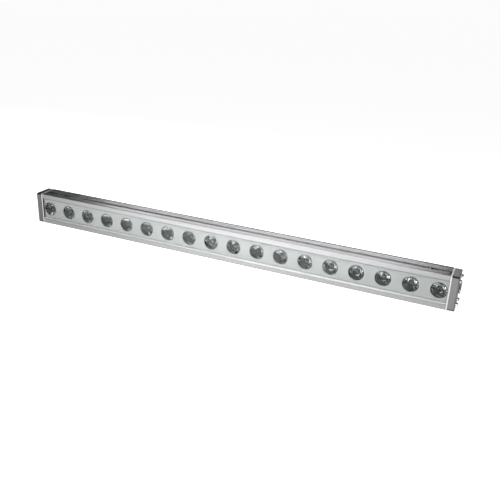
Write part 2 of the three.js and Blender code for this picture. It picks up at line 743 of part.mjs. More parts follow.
function blankingPlug() {
  const seat = CAP_OUTER + PLUG_SEAL_THICKNESS + 2 * GAP;
  const top = seat + PLUG_HEAD_THICKNESS;
  const head = new THREE.Shape(hexagon(CONNECTOR_DEPTH, PLUG_HEIGHT, PLUG_FLATS).getPoints());
  const barrel = [
    [0, CAP_INNER + 1],
    [PLUG_BARREL_RADIUS, CAP_INNER + 1],
    [PLUG_BARREL_RADIUS, seat + GAP],
    [0, seat + GAP],
  ];
  const slot = block(
    top - 1.4,
    CONNECTOR_DEPTH - 9,
    PLUG_HEIGHT - 0.8,
    top + 1,
    CONNECTOR_DEPTH + 9,
    PLUG_HEIGHT + 0.8,
  );
  const body = join(alongX(head, seat, top), turnedAlongX(barrel, 16, CONNECTOR_DEPTH, PLUG_HEIGHT));
  return cut(body, slot);
}

function plugSeal() {
  const outline = circle(CONNECTOR_DEPTH, PLUG_HEIGHT, PLUG_SEAL_RADIUS, 16);
  const bore = circle(CONNECTOR_DEPTH, PLUG_HEIGHT, PLUG_HOLE_RADIUS, 16);
  const seat = CAP_OUTER + GAP;
  return alongX(shapeWithHoles(outline, [bore]), seat, seat + PLUG_SEAL_THICKNESS);
}

function addEndPieces(end, side) {
  end.add(piece(`end_gasket_${side}`, endGasket(), "gasket"));
  for (const [level, sign] of [["upper", 1], ["lower", -1]]) {
    SCREW_PLACES.forEach(({ depth, height }, i) => {
      const name = `cap_screw_${side}_${level}_${i === 0 ? "front" : "rear"}`;
      end.add(piece(name, capScrew({ depth, height: sign * height }), "stainless"));
    });
  }
}

function addEnds(batten) {
  const right = new THREE.Group();
  addEndPieces(right, "right");
  const plugHole = circle(CONNECTOR_DEPTH, PLUG_HEIGHT, PLUG_HOLE_RADIUS, 16);
  right.add(piece("end_cap_right", endCap([plugHole]), "capPaint"));
  right.add(piece("blanking_plug", blankingPlug(), "nickel"));
  right.add(piece("plug_seal", plugSeal(), "darkRubber"));

  const left = new THREE.Group();
  addEndPieces(left, "left");
  const inletHoles = [-1, 1].map((side) =>
    circle(CONNECTOR_DEPTH, side * INLET_HEIGHT, INLET_HOLE_RADIUS, 16),
  );
  left.add(piece("end_cap_left", endCap(inletHoles), "capPaint"));
  left.add(piece("power_inlet", inlet(INLET_HEIGHT, 3), "nickel"));
  left.add(piece("data_inlet", inlet(-INLET_HEIGHT, 5), "nickel"));
  left.add(piece("power_lock_nut", lockNut(INLET_HEIGHT), "nickel"));
  left.add(piece("data_lock_nut", lockNut(-INLET_HEIGHT), "nickel"));
  left.scale.x = -1;
  batten.add(right, left);
}

// ---- Sliding nuts ---------------------------------------------------------------------------

// A plate under the slot's lips with a narrower neck between them, tapped through the middle.
function slotNut() {
  const bottom = SLOT_FLOOR + NUT_PLAY;
  const plateTop = bottom + NUT_PLATE_HEIGHT;
  const neckTop = plateTop + NUT_NECK_HEIGHT;
  const near = SLOT_CENTRE - NUT_PLATE_WIDTH / 2;
  const far = SLOT_CENTRE + NUT_PLATE_WIDTH / 2;
  const plate = block(-NUT_LENGTH / 2, near, bottom, NUT_LENGTH / 2, far, plateTop);
  const neck = block(
    -NUT_NECK_LENGTH / 2,
    SLOT_CENTRE - NUT_NECK_WIDTH / 2,
    plateTop - 1,
    NUT_NECK_LENGTH / 2,
    SLOT_CENTRE + NUT_NECK_WIDTH / 2,
    neckTop,
  );
  const thread = new THREE.Shape(circle(0, SLOT_CENTRE, NUT_THREAD_RADIUS, 12).getPoints());
  return cut(join(plate, neck), upwards(thread, bottom - 1, neckTop + 1));
}

function addNuts(batten) {
  for (const [level, sign] of [["upper", 1], ["lower", -1]]) {
    for (const [side, place] of [["left", -NUT_PLACE], ["right", NUT_PLACE]]) {
      const nut = piece(`slot_nut_${level}_${side}`, slotNut(), "zinc");
      nut.position.x = place;
      nut.scale.z = sign;
      batten.add(nut);
    }
  }
}

// ---- The whole batten ------------------------------------------------------------------------

const batten = new THREE.Group();
batten.add(piece("housing_extrusion", housing(), "aluminium"));
addFront(batten);
addLightEngine(batten);
addDriver(batten);
addEnds(batten);
addNuts(batten);
batten.position.set(0, -DEPTH / 2, HALF_HEIGHT);

export default batten;
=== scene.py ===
import json
import math
import random

import bmesh
import bpy
from mathutils import Matrix, Vector


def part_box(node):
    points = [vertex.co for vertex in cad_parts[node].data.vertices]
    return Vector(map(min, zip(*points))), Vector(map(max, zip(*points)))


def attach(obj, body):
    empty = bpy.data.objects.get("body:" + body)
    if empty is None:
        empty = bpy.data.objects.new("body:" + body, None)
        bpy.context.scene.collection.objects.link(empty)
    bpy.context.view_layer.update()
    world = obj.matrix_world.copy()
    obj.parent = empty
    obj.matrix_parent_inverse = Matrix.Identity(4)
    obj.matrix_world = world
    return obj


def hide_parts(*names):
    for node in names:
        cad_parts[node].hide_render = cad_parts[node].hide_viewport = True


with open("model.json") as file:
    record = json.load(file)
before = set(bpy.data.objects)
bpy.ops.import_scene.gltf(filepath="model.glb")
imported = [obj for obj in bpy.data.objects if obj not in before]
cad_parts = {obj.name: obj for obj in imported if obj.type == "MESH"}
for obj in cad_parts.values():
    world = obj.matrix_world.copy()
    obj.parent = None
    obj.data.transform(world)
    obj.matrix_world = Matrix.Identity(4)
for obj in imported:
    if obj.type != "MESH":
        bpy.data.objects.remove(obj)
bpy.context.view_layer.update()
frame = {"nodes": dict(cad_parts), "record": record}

# An LED strip batten: aluminium housing, flat glass, one row of moulded lenses, grey end caps on
# pale gaskets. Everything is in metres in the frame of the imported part, which lies along X with its
# lenses towards -Y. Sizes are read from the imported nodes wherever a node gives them.

MM = 0.001
BODY = "batten_body"
HOUSING_LOW, HOUSING_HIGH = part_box("housing_extrusion")
FRONT = HOUSING_LOW.y
MIDDLE = (HOUSING_LOW.z + HOUSING_HIGH.z) / 2
MIDDLE_DEPTH = (HOUSING_LOW.y + HOUSING_HIGH.y) / 2
OPENINGS = {opening["name"]: opening["box_m"] for opening in frame["record"]["physics"]["openings"]}
LENS_NODES = sorted(n for n in frame["nodes"] if n.startswith("lens_") and n[5:].isdigit())
LENS_BOXES = [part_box(n) for n in LENS_NODES]
LENS_PLACES = [(low + high) / 2 for low, high in LENS_BOXES]
LENS_PITCH = LENS_PLACES[1].x - LENS_PLACES[0].x


# ---- Camera -----------------------------------------------------------------------------------

def make_camera():
    """Stands in front and to the right, looks down at the row of lenses, and is tipped a little."""
    azimuth, elevation, roll = (math.radians(degrees) for degrees in (22.92, 23.35, 2.30))
    to_the_right, in_front, above = 0.5655, 1.1742, 0.5542
    data = bpy.data.cameras.new("camera")
    data.sensor_width = 36
    data.lens = 46.77
    data.clip_end = 100
    camera = bpy.data.objects.new("camera", data)
    bpy.context.scene.collection.objects.link(camera)
    place = Matrix.Translation(Vector((to_the_right, FRONT - in_front, MIDDLE + above)))
    turn = Matrix.Rotation(azimuth, 4, "Z") @ Matrix.Rotation(math.pi / 2 - elevation, 4, "X")
    camera.matrix_world = place @ turn @ Matrix.Rotation(roll, 4, "Z")
    bpy.context.scene.camera = camera


# ---- Mesh helpers -------------------------------------------------------------------------------

def link_mesh(name, vertices, faces, finish, crease=30):
    """A mesh object with outward faces, smooth except across edges sharper than crease degrees."""
    mesh = bpy.data.meshes.new(name)
    mesh.from_pydata(vertices, [], faces)
    built = bmesh.new()
    built.from_mesh(mesh)
    bmesh.ops.recalc_face_normals(built, faces=built.faces)
    built.to_mesh(mesh)
    built.free()
    mesh.shade_smooth()
    mesh.set_sharp_from_angle(angle=math.radians(crease))
    mesh.materials.append(finish)
    piece = bpy.data.objects.new(name, mesh)
    bpy.context.scene.collection.objects.link(piece)
    return piece


def lathe(stations, sides, centre, axis):
    """Vertices and faces of a closed ring-by-ring shape about axis.

    Each station is (radius, distance along axis). Radius is 0, a number or a function of the angle,
    and so is the distance.
    """
    axis = Vector(axis).normalized()
    across = axis.orthogonal().normalized()
    up = axis.cross(across)
    vertices, rings, faces = [], [], []
    for radius, along in stations:
        if radius == 0:
            rings.append([len(vertices)])
            vertices.append(centre + axis * along)
            continue
        ring = []
        for i in range(sides):
            angle = 2 * math.pi * i / sides
            r = radius(angle) if callable(radius) else radius
            d = along(angle) if callable(along) else along
            ring.append(len(vertices))
            vertices.append(centre + axis * d + (across * math.cos(angle) + up * math.sin(angle)) * r)
        rings.append(ring)
    for a, b in zip(rings, rings[1:]):
        for i in range(sides):
            j = (i + 1) % sides
            if len(a) == 1 and len(b) > 1:
                faces.append((a[0], b[i], b[j]))
            elif len(b) == 1 and len(a) > 1:
                faces.append((a[i], b[0], a[j]))
            elif len(a) > 1:
                faces.append((a[i], b[i], b[j], a[j]))
    return vertices, faces


def hexagon(flats):
    """Radius of a hexagon as a function of the angle."""
    third = math.pi / 3
    return lambda angle: flats / 2 / math.cos((angle + third / 2) % third - third / 2)


def knurled(radius, ridges, depth):
    """Radius of a ridged ring as a function of the angle."""
    return lambda angle: radius - depth * (0.5 + 0.5 * math.cos(ridges * angle))


def faceted(radius, facets, turn=0.0):
    """Radius of a many-sided ring as a function of the angle."""
    step = 2 * math.pi / facets
    return lambda angle: radius * math.cos(step / 2) / math.cos((angle + turn) % step - step / 2)


def ease(piece, width, segments=2):
    """Rounds the edges sharper than 30 degrees without changing the size of the mesh."""
    weld = piece.modifiers.new("weld", "WELD")
    weld.merge_threshold = 1e-6
    bevel = piece.modifiers.new("eased_edges", "BEVEL")
    bevel.width = width
    bevel.segments = segments
    bevel.limit_method = "ANGLE"
    bevel.angle_limit = math.radians(30)
    bevel.harden_normals = True


def flatten_shading(piece):
    """Keeps the shading of wide flat faces flat, so that only the eased edges turn the light."""
    normals = piece.modifiers.new("flat_faces", "WEIGHTED_NORMAL")
    normals.mode = "FACE_AREA"
    normals.weight = 100
    normals.keep_sharp = True


def finish_node(name, finish, edge=None):
    """Gives a CAD node its material and, where edge is given, eased edges."""
    node = frame["nodes"][name]
    node.data.materials.clear()
    node.data.materials.append(finish)
    node.data.shade_smooth()
    if edge:
        ease(node, edge)
    flatten_shading(node)


# ---- Material helpers ---------------------------------------------------------------------------

def new_surface(name, colour, roughness, metallic=0.0, **sockets):
    """A material with its node tree and shader; sockets are given by name with _ for a space."""
    material = bpy.data.materials.new(name)
    material.use_nodes = True
    tree = material.node_tree
    shader = tree.nodes["Principled BSDF"]
    shader.inputs["Base Color"].default_value = (*colour, 1)
    shader.inputs["Roughness"].default_value = roughness
    shader.inputs["Metallic"].default_value = metallic
    for socket, value in sockets.items():
        shader.inputs[socket.replace("_", " ")].default_value = value
    return material, tree, shader


def axes(tree, kind="Object"):
    """X, Y and Z of a texture coordinate, the object's own unless another kind is asked for."""
    coordinates = tree.nodes.new("ShaderNodeTexCoord")
    split = tree.nodes.new("ShaderNodeSeparateXYZ")
    tree.links.new(coordinates.outputs[kind], split.inputs["Vector"])
    return split.outputs["X"], split.outputs["Y"], split.outputs["Z"]


def noise(tree, scale, stretch=(1, 1, 1), detail=3.0):
    """Noise over the object's own coordinates; scale counts blotches per metre."""
    coordinates = tree.nodes.new("ShaderNodeTexCoord")
    mapping = tree.nodes.new("ShaderNodeMapping")
    mapping.inputs["Scale"].default_value = stretch
    texture = tree.nodes.new("ShaderNodeTexNoise")
    texture.inputs["Scale"].default_value = scale
    texture.inputs["Detail"].default_value = detail
    tree.links.new(coordinates.outputs["Object"], mapping.inputs["Vector"])
    tree.links.new(mapping.outputs["Vector"], texture.inputs["Vector"])
    return texture.outputs["Fac"]


def spread(tree, value, low, high, start=0.3, end=0.7):
    """Maps a value between start and end onto the range from low to high, and stops at both."""
    node = tree.nodes.new("ShaderNodeMapRange")
    node.inputs["From Min"].default_value = start
    node.inputs["From Max"].default_value = end
    node.inputs["To Min"].default_value = low
    node.inputs["To Max"].default_value = high
    tree.links.new(value, node.inputs["Value"])
    return node.outputs["Result"]


def set_input(tree, socket, value):
    """Links a node output to a socket, or writes a number or a colour on it."""
    if isinstance(value, bpy.types.NodeSocket):
        tree.links.new(value, socket)
    elif isinstance(value, tuple):
        socket.default_value = (*value, 1)
    else:
        socket.default_value = value


def blend_colours(tree, factor, first, second):
    """The first colour where factor is 0 and the second where it is 1."""
    node = tree.nodes.new("ShaderNodeMix")
    node.data_type = "RGBA"
    inputs = [socket for socket in node.inputs if socket.enabled]
    for socket, value in zip(inputs, (factor, first, second)):
        set_input(tree, socket, value)
    return next(socket for socket in node.outputs if socket.enabled)


def calculate(tree, operation, *values):
    """The result of a Math node on sockets or numbers."""
    node = tree.nodes.new("ShaderNodeMath")
    node.operation = operation
    for socket, value in zip(node.inputs, values):
        set_input(tree, socket, value)
    return node.outputs["Value"]


def add_bump(tree, shader, height, strength, distance=0.1 * MM):
    """Surface relief from a value; distance is the height of the relief in metres."""
    node = tree.nodes.new("ShaderNodeBump")
    node.inputs["Strength"].default_value = strength
    node.inputs["Distance"].default_value = distance
    tree.links.new(height, node.inputs["Height"])
    tree.links.new(node.outputs["Normal"], shader.inputs["Normal"])


def distance_from(tree, value, centre):
    """How far a value is from centre, on either side."""
    return calculate(tree, "ABSOLUTE", calculate(tree, "SUBTRACT", value, centre))


def both(tree, first, second):
    """A mask that is 1 where two masks are."""
    return calculate(tree, "MULTIPLY", first, second)


def sum_of_squares(tree, first, second):
    """The squares of two values added up."""
    first_square, second_square = (calculate(tree, "POWER", value, 2) for value in (first, second))
    return calculate(tree, "ADD", first_square, second_square)


def scaled(colour, amount):
    """A colour that is lighter or darker by a factor."""
    return tuple(channel * amount for channel in colour)


def varied(tree, grain, colour, shade):
    """A colour that gets darker and lighter by shade, along with a noise."""
    darker, lighter = scaled(colour, 1 - shade), scaled(colour, 1 + shade)
    return blend_colours(tree, spread(tree, grain, 0, 1), darker, lighter)


def grained(name, colour, roughness, metallic=0.0, scale=300, shade=0.08, rough=0.06, strength=0.15,
            **sockets):
    """A surface whose colour, roughness and height all vary with one noise."""
    material, tree, shader = new_surface(name, colour, roughness, metallic, **sockets)
    grain = noise(tree, scale)
    tint = varied(tree, grain, colour, shade)
    tree.links.new(tint, shader.inputs["Base Color"])
    tree.links.new(spread(tree, grain, roughness - rough, roughness + rough), shader.inputs["Roughness"])
    add_bump(tree, shader, grain, strength)
    return material


# ---- Materials ----------------------------------------------------------------------------------

def painted_light_walls(tree):
    """1 on the walls of the two T-slots and of the glass recess, which get painted light."""
    _, y, z = axes(tree)
    margin, top_land, recess_lip = 0.6 * MM, 0.2 * MM, 0.75 * MM
    up = distance_from(tree, z, MIDDLE)
    (_, near, low), (_, far, _) = OPENINGS["upper_slot_channel_middle"]
    above_floor = calculate(tree, "GREATER_THAN", up, low - MIDDLE - margin)
    below_top = calculate(tree, "LESS_THAN", up, HOUSING_HIGH.z - MIDDLE - top_land)
    from_slot = distance_from(tree, y, (near + far) / 2)
    between = calculate(tree, "LESS_THAN", from_slot, (far - near) / 2 + margin)
    slot = both(tree, both(tree, above_floor, below_top), between)
    seal_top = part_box("glass_seal_upper")[1].z - MIDDLE
    inside = calculate(tree, "LESS_THAN", up, seal_top + recess_lip)
    ahead = calculate(tree, "LESS_THAN", y, MIDDLE_DEPTH)
    return calculate(tree, "MAXIMUM", slot, both(tree, inside, ahead))


def painted_land_shade(tree):
    """Two masks of painted shade: the lands in front of the slots, and the strip along each rear edge.
    """
    _, y, z = axes(tree)
    strip_start, strip_height = 38.6 * MM, 1.5 * MM
    depth = calculate(tree, "SUBTRACT", y, FRONT)
    up = distance_from(tree, z, MIDDLE)
    land_height = HOUSING_HIGH.z - MIDDLE - 0.1 * MM
    on_land = calculate(tree, "GREATER_THAN", up, land_height)
    before_slot = calculate(tree, "LESS_THAN", y, OPENINGS["upper_slot_mouth_middle"][0][1])
    at_rear = calculate(tree, "GREATER_THAN", depth, strip_start)
    high = calculate(tree, "GREATER_THAN", up, land_height - strip_height)
    return both(tree, on_land, before_slot), both(tree, at_rear, high)


def anodised_aluminium():
    """Natural satin anodising over lengthways extrusion lines, with painted light and painted shade."""
    colour = (0.225, 0.226, 0.23)
    # Colours of the painted light on the slot and recess walls and of the painted shade on the rear
    # edges.
    painted_light_wall_colour, rear_shade_colour = (0.55, 0.552, 0.56), (0.01, 0.01, 0.01)
    land_shade = 0.46
    material, tree, shader = new_surface("anodised_aluminium", colour, 0.36, 1.0, Specular_IOR_Level=0.1)
    lines = noise(tree, 1, stretch=(2, 900, 900), detail=4)
    cloud = noise(tree, 14, stretch=(1, 3, 3), detail=2)
    speckle = noise(tree, 5000)
    tint = blend_colours(tree, spread(tree, lines, 0, 1), scaled(colour, 0.93), scaled(colour, 1.06))
    # Painted shade: the lands in front of the slots are darkened, and each rear edge gets a near-black,
    # non-metallic strip.
    front_land_shade, rear_edge_shade = painted_land_shade(tree)
    tint = blend_colours(tree, front_land_shade, tint, scaled(colour, land_shade))
    # Painted light: the walls of the slots and of the glass recess are painted lighter.
    tint = blend_colours(tree, painted_light_walls(tree), tint, painted_light_wall_colour)
    tint = blend_colours(tree, rear_edge_shade, tint, rear_shade_colour)
    tree.links.new(calculate(tree, "SUBTRACT", 1, rear_edge_shade), shader.inputs["Metallic"])
    tree.links.new(tint, shader.inputs["Base Color"])
    satin = calculate(tree, "ADD", spread(tree, lines, 0.30, 0.38), spread(tree, cloud, -0.02, 0.03))
    tree.links.new(satin, shader.inputs["Roughness"])
    height = calculate(tree, "ADD", lines, spread(tree, speckle, 0, 0.4))
    add_bump(tree, shader, height, 0.12, 0.08 * MM)
    return material


def cover_glass():
    """Thin clear glass: it passes what is behind it and mirrors more at a glancing angle."""
    material = bpy.data.materials.new("clear_glass")
    material.use_nodes = True
    tree = material.node_tree
    tree.nodes.remove(tree.nodes["Principled BSDF"])
    clear = tree.nodes.new("ShaderNodeBsdfTransparent")
    clear.inputs["Color"].default_value = (0.976, 0.982, 0.981, 1)
    gloss = tree.nodes.new("ShaderNodeBsdfGlossy")
    gloss.inputs["Roughness"].default_value = 0.04
    smear = noise(tree, 25)
    add_bump(tree, gloss, smear, 0.02)
    facing = tree.nodes.new("ShaderNodeLayerWeight")
    facing.inputs["Blend"].default_value = 0.5
    glancing = calculate(tree, "POWER", facing.outputs["Facing"], 5)
    straight_on, most = 0.004, 0.9
    mirrored = calculate(tree, "MULTIPLY_ADD", glancing, most, straight_on)
    mix = tree.nodes.new("ShaderNodeMixShader")
    tree.links.new(mirrored, mix.inputs["Fac"])
    tree.links.new(clear.outputs["BSDF"], mix.inputs[1])
    tree.links.new(gloss.outputs["BSDF"], mix.inputs[2])
    tree.links.new(mix.outputs["Shader"], tree.nodes["Material Output"].inputs["Surface"])
    return material


def lens_acrylic():
    """Slightly rippled, tinted grey, and weaker than real acrylic at bending light."""
    material, tree, shader = new_surface("lens_acrylic", (0.68, 0.7, 0.7), 0.04, IOR=1.31,
                                         Transmission_Weight=1.0, Specular_IOR_Level=0.5)
    ripple = noise(tree, 700)
    add_bump(tree, shader, ripple, 0.1)
    return material


def led_board_surface():
    """White solder mask with a black ring and a small emitter under the middle of each lens."""
    material, tree, shader = new_surface("white_solder_mask", (0.75, 0.76, 0.74), 0.4)
    x, _, z = axes(tree)
    from_start = calculate(tree, "SUBTRACT", x, LENS_PLACES[0].x - LENS_PITCH / 2)
    along = calculate(tree, "FLOORED_MODULO", from_start, LENS_PITCH)
    sideways = calculate(tree, "SUBTRACT", along, LENS_PITCH / 2)
    up = calculate(tree, "SUBTRACT", z, MIDDLE)
    away = calculate(tree, "SQRT", sum_of_squares(tree, sideways, up))
    fine = noise(tree, 900)
    emitter, frame_grey, ring_black = (0.2, 0.16, 0.06), (0.1, 0.1, 0.1), (0.015, 0.015, 0.016)
    mask = blend_colours(tree, spread(tree, fine, 0, 1), (0.7, 0.71, 0.69), (0.8, 0.81, 0.79))
    blur = 0.1 * MM
    colour = emitter
    for radius, next_colour in ((1.5 * MM, frame_grey), (2.4 * MM, ring_black), (8.6 * MM, mask)):
        outside = spread(tree, away, 0, 1, radius - blur, radius + blur)
        colour = blend_colours(tree, outside, colour, next_colour)
    tree.links.new(colour, shader.inputs["Base Color"])
    add_bump(tree, shader, fine, 0.05)
    return material


def pale_silicone():
    """Pale silicone with painted shadow on the inner faces, where it meets the housing."""
    colour, painted_shade_colour = (0.46, 0.465, 0.465), (0.02, 0.02, 0.02)
    dark_depth, pale_depth = 0.15 * MM, 0.4 * MM
    material, tree, shader = new_surface("pale_silicone", colour, 0.6)
    x, _, _ = axes(tree)
    grain = noise(tree, 2500)
    tint = varied(tree, grain, colour, 0.05)
    out = calculate(tree, "ABSOLUTE", x)
    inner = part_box("end_gasket_right")[0].x
    # Painted shadow: the inner face of each gasket and a thin band next to it are dark.
    face = spread(tree, out, 1, 0, inner + dark_depth, inner + pale_depth)
    tree.links.new(blend_colours(tree, face, tint, painted_shade_colour), shader.inputs["Base Color"])
    add_bump(tree, shader, grain, 0.15)
    return material


def cap_paint(name, colour, shaded_top_colour):
    """Satin powder coat with painted shade on top and underneath, painted dark reflection on eased
    edges.
    """
    painted_shade_colour = (0.006, 0.006, 0.0065)
    top_blend = (0.2 * MM, 0.6 * MM)
    level_blend, upright_blend = (2.9 * MM, 3.5 * MM), (1.5 * MM, 2.1 * MM)
    material, tree, shader = new_surface(name, colour, 0.45, Specular_IOR_Level=0.3)
    x, y, z = axes(tree)
    grain = noise(tree, 1600)
    tint = varied(tree, grain, colour, 0.06)
    depth = calculate(tree, "SUBTRACT", y, FRONT)
    from_top = calculate(tree, "SUBTRACT", HOUSING_HIGH.z - MIDDLE, distance_from(tree, z, MIDDLE))
    out = calculate(tree, "ABSOLUTE", x)
    from_end = calculate(tree, "SUBTRACT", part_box("end_cap_right")[1].x, out)
    # Painted shade: the top and the underside take their own darker tone.
    top_shade = spread(tree, from_top, 1, 0, *top_blend)
    tint = blend_colours(tree, top_shade, tint, shaded_top_colour)
    # Painted dark reflection: the level front edges go dark and the upright outer front edges go half
    # dark.
    level_edge_shade = spread(tree, calculate(tree, "ADD", depth, from_top), 1, 0, *level_blend)
    upright_edge_shade = spread(tree, calculate(tree, "ADD", depth, from_end), 0.5, 0, *upright_blend)
    edges = calculate(tree, "MAXIMUM", level_edge_shade, upright_edge_shade)
    tree.links.new(blend_colours(tree, edges, tint, painted_shade_colour), shader.inputs["Base Color"])
    tree.links.new(spread(tree, grain, 0.39, 0.51), shader.inputs["Roughness"])
    add_bump(tree, shader, grain, 0.25)
    return material


def mirrored_cup():
    """Mottled metallised facets: painted highlight to the upper right, painted shade to the lower left.
    """
    cup_shade_colour, cup_highlight_colour = (0.01, 0.01, 0.01), (0.95, 0.95, 0.94)
    cup_shade_end, cup_highlight_end = -9 * MM, 5 * MM
    material, tree, shader = new_surface("mirrored_cup", (0.6, 0.6, 0.6), 0.15, 1.0)
    x, _, z = axes(tree)
    # Painted highlight and shade: the facets run from the dark colour at the lower left to the bright
    # one at the upper right.
    painted_highlight_ramp = spread(tree, calculate(tree, "ADD", x, z), 0.2, 1, cup_shade_end, cup_highlight_end)
    mottle = spread(tree, noise(tree, 280, stretch=(1, 0.4, 1)), 0.03, 1, 0.46, 0.54)
    bright = calculate(tree, "MULTIPLY", painted_highlight_ramp, mottle)
    tree.links.new(blend_colours(tree, bright, cup_shade_colour, cup_highlight_colour), shader.inputs["Base Color"])
    return material


ALUMINIUM = anodised_aluminium()
GLASS = cover_glass()
LENS = lens_acrylic()
BOARD = led_board_surface()
# The left cap takes a darker copy of the cap paint, painted shade for the dimmer light at that end.
RIGHT_CAP_PAINT = cap_paint("right_cap_paint", (0.125, 0.125, 0.13), (0.1, 0.1, 0.104))
SHADED_LEFT_CAP_PAINT = cap_paint("left_cap_paint", (0.08, 0.08, 0.084), (0.015, 0.015, 0.016))
PANEL_PAINT = grained("panel_coating", (0.24, 0.248, 0.246), 0.42, scale=1200, shade=0.03, rough=0.04)
PALE_SILICONE = pale_silicone()
DARK_RUBBER = grained("dark_rubber", (0.05, 0.052, 0.052), 0.6, scale=2200, shade=0.1)
# A paler copy of the seal rubber for the lower glass seal, painted light where that seal lies in shade.
LIT_SEAL_RUBBER = grained("worn_rubber", (0.55, 0.56, 0.56), 0.6, scale=2200, shade=0.1)
STAINLESS = grained("stainless_steel", (0.55, 0.55, 0.54), 0.28, metallic=1.0, scale=1500)
NICKEL = grained("nickel_plate", (0.62, 0.62, 0.6), 0.22, metallic=1.0, scale=900, shade=0.05,
                 strength=0.05)
MIRRORED_CUP = mirrored_cup()
ZINC = grained("zinc_plate", (0.11, 0.112, 0.115), 0.4, metallic=1.0, scale=1300, shade=0.1)
BRASS = grained("pin_plating", (0.75, 0.58, 0.28), 0.25, metallic=1.0, scale=900, shade=0.05,
                strength=0.05)
GREEN_BOARD = grained("green_board", (0.03, 0.13, 0.06), 0.35, scale=700, shade=0.25)
HEAT_PAD = grained("heat_pad", (0.27, 0.32, 0.37), 0.8, scale=2600, shade=0.12)
BLACK_PLASTIC = grained("black_plastic", (0.012, 0.0125, 0.013), 0.6, scale=2400, shade=0.15,
                        Specular_IOR_Level=0.3)
TRAY_SHEET = grained("insulating_tray", (0.6, 0.57, 0.5), 0.5, scale=500)
WIRE_SHEATH = grained("wire_sheath", (0.02, 0.02, 0.022), 0.5, scale=1500, shade=0.2)


# ---- CAD nodes that keep their shape --------------------------------------------------------------

# How the name of a node starts, its material, and how wide its edges are eased.
NODE_FINISHES = (
    ("housing_extrusion", ALUMINIUM, 0.18 * MM),
    ("cover_glass", GLASS, 0.25 * MM),
    # The left cap's darker paint is painted shade.
    ("end_cap_left", SHADED_LEFT_CAP_PAINT, 0.2 * MM),
    ("end_cap_right", RIGHT_CAP_PAINT, 0.2 * MM),
    ("end_gasket_", PALE_SILICONE, 0.15 * MM),
    ("glass_seal_upper", DARK_RUBBER, 0.15 * MM),
    # The lower seal's paler rubber is painted light.
    ("glass_seal_lower", LIT_SEAL_RUBBER, 0.15 * MM),
    ("plug_seal", DARK_RUBBER, 0.15 * MM),
    ("slot_nut_", ZINC, 0.3 * MM),
    ("lens_carrier_", BLACK_PLASTIC, 0.2 * MM),
    ("led_board_", BOARD, None),
    ("heat_pad_", HEAT_PAD, None),
    ("board_jumper_", WIRE_SHEATH, 0.1 * MM),
    ("inlet_harness", WIRE_SHEATH, 0.1 * MM),
    ("led_harness", WIRE_SHEATH, 0.1 * MM),
    ("power_lock_nut", NICKEL, 0.25 * MM),
    ("data_lock_nut", NICKEL, 0.25 * MM),
    ("driver_board", GREEN_BOARD, 0.2 * MM),
    ("driver_tray", TRAY_SHEET, 0.2 * MM),
    ("blanking_plug", NICKEL, 0.4 * MM),
)


def finish_cad_nodes():
    """Eased edges and a material for every node that is not replaced by a finer piece."""
    for start, finish, edge in NODE_FINISHES:
        for name in frame["nodes"]:
            if name.startswith(start):
                finish_node(name, finish, edge)


# ---- Lens panel -----------------------------------------------------------------------------------

def make_panel():
    """A coated sheet with one round opening for each lens."""
    low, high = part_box("lens_panel")
    lens_gap, overcut, hole_sides = 0.5 * MM, MM, 72
    corners = [Vector((x, y, z))
               for x in (low.x, high.x) for y in (low.y, high.y) for z in (low.z, high.z)]
    sides = [(0, 1, 3, 2), (4, 6, 7, 5), (0, 4, 5, 1), (2, 3, 7, 6), (0, 2, 6, 4), (1, 5, 7, 3)]
    panel = link_mesh("lens_panel_sheet", corners, sides, PANEL_PAINT)
    radius = LENS_BOXES[0][1].z - LENS_PLACES[0].z + lens_gap
    depth = high.y - low.y + 2 * overcut
    stations = [(0, 0), (radius, 0), (radius, depth), (0, depth)]
    vertices, faces = [], []
    for place in LENS_PLACES:
        start = Vector((place.x, low.y - overcut, place.z))
        ring, sides = lathe(stations, hole_sides, start, (0, 1, 0))
        faces += [tuple(i + len(vertices) for i in side) for side in sides]
        vertices += ring
    cutter = link_mesh("lens_openings", vertices, faces, PANEL_PAINT)
    holes = panel.modifiers.new("openings", "BOOLEAN")
    holes.object = cutter
    holes.solver = "EXACT"
    bpy.context.view_layer.update()
    graph = bpy.context.evaluated_depsgraph_get()
    cut = bpy.data.meshes.new_from_object(panel.evaluated_get(graph), depsgraph=graph)
    panel.modifiers.clear()
    panel.data = cut
    bpy.data.objects.remove(cutter)
    cut.shade_smooth()
    ease(panel, 0.25 * MM, segments=3)
    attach(panel, BODY)
    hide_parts("lens_panel")


# ---- Lenses ---------------------------------------------------------------------------------------

LENS_SIDES, CONE_FACETS = 96, 12
CUP_SIDES, CUP_FACETS = 48, 16
# The middle of the lens front lies SET_BACK behind the rim, and its edge lies CROWN deeper.
SET_BACK, CROWN = 0.3 * MM, 0.3 * MM
PILLOW_WIDTH, PILLOW_DEPTH = 3.6 * MM, 0.13 * MM
# How far along the cone of the lens each bend lies, and how far the cone has narrowed there.
CONE_BENDS = ((0.02, 0), (0.22, 0.16), (0.45, 0.38), (0.72, 0.68), (1, 1))


def pillowed(radius, face):
    """How far one ring of the lens front lies behind the rim: pillows on a low crown."""
    def height(angle):
        across = math.cos(2 * math.pi * radius * math.cos(angle) / PILLOW_WIDTH)
        upwards = math.cos(2 * math.pi * radius * math.sin(angle) / PILLOW_WIDTH)
        return SET_BACK - PILLOW_DEPTH * across * upwards + CROWN * (radius / face) ** 2
    return height


